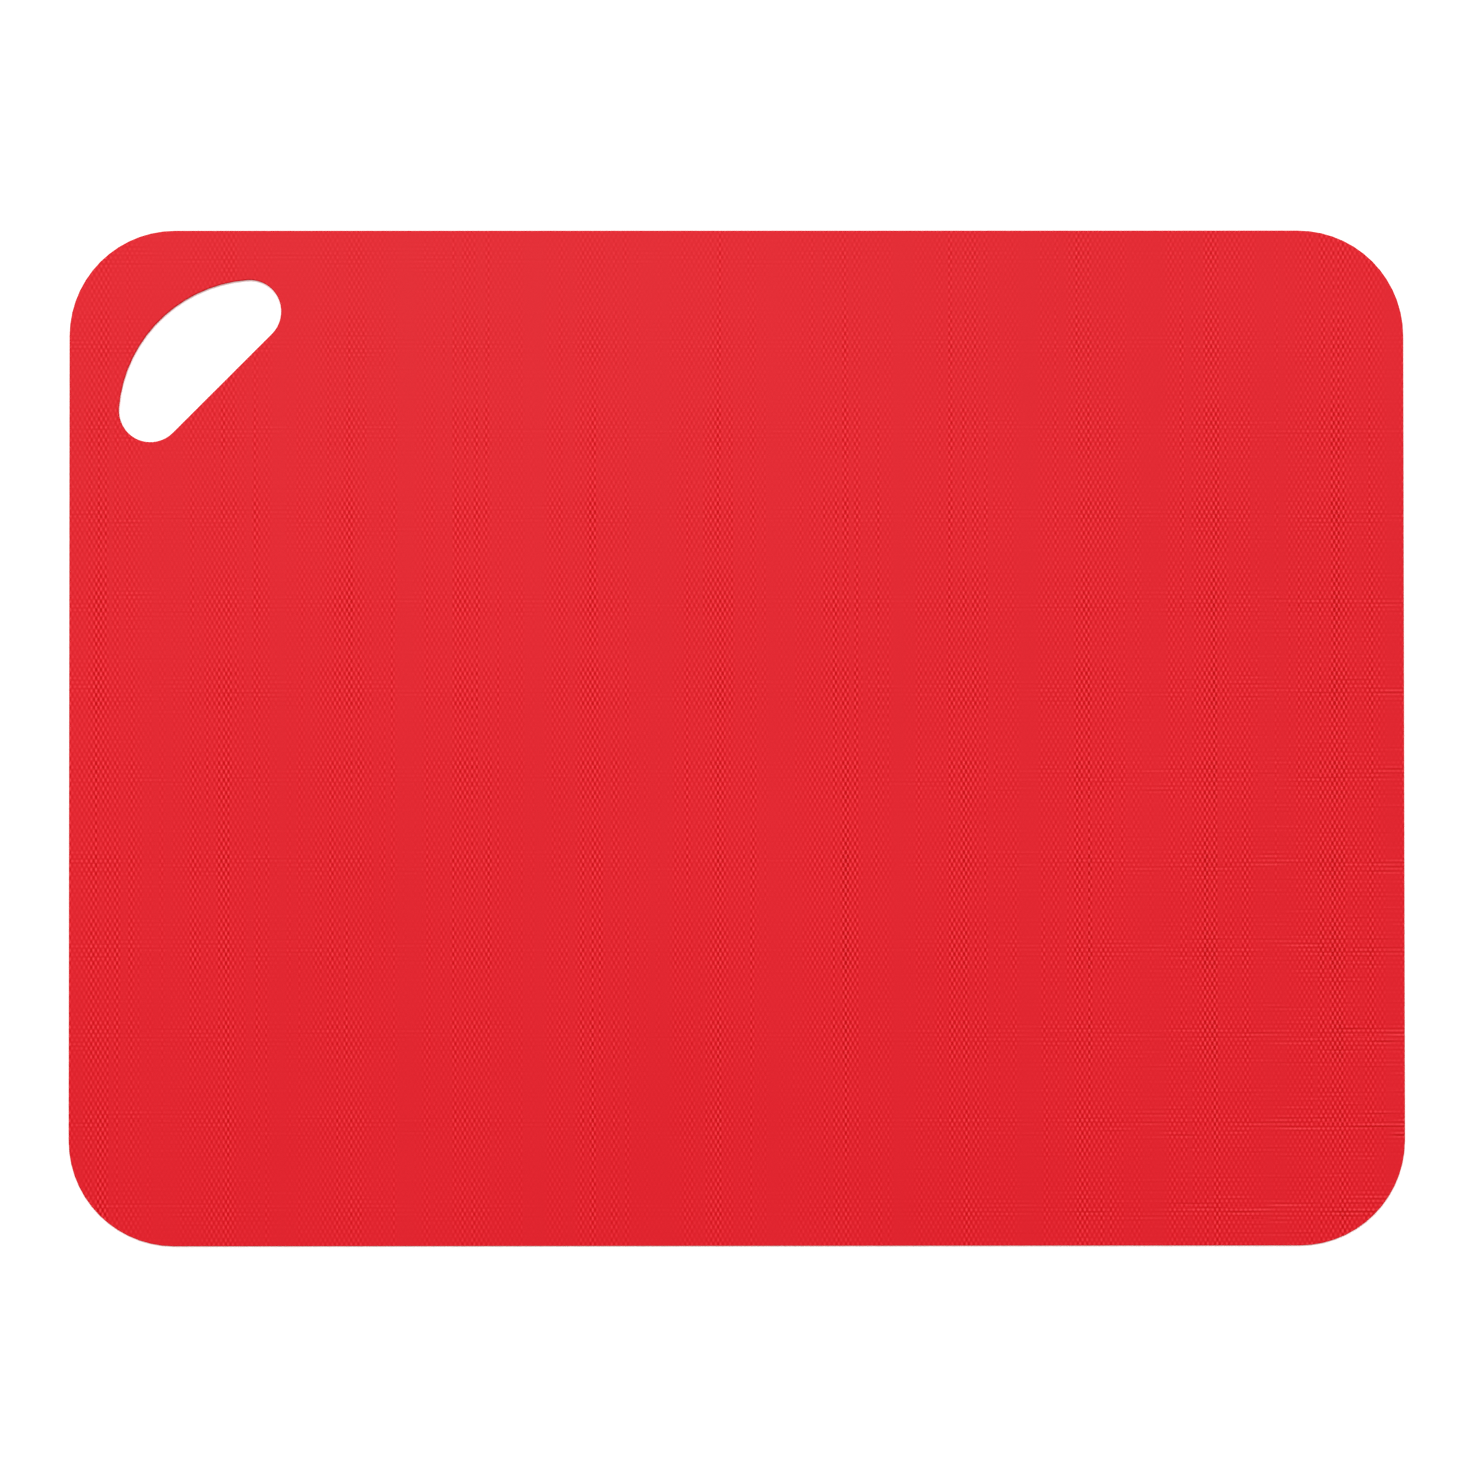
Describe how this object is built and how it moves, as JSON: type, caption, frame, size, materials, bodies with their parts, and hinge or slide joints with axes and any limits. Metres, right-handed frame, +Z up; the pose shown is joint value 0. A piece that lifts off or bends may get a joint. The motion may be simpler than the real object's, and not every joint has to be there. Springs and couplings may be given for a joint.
{
  "type": "flexible cutting mat",
  "caption": "Thin flexible rectangular cutting mat with rounded corners and a slanted D-shaped finger hole through one corner.",
  "frame": {"origin": "centre of the mat's flat underside, on the surface that it lies on", "axes": "+X along the mat's length, +Y along its width, +Z up out of the cutting face. The finger hole is in the corner at -X, +Y"},
  "size_m": [0.38, 0.289, 0.0012],
  "materials": {
    "mat": "finely embossed, semi-matt"
  },
  "bodies": {
    "root": {"mat": "mat"}
  },
  "joints": []
}
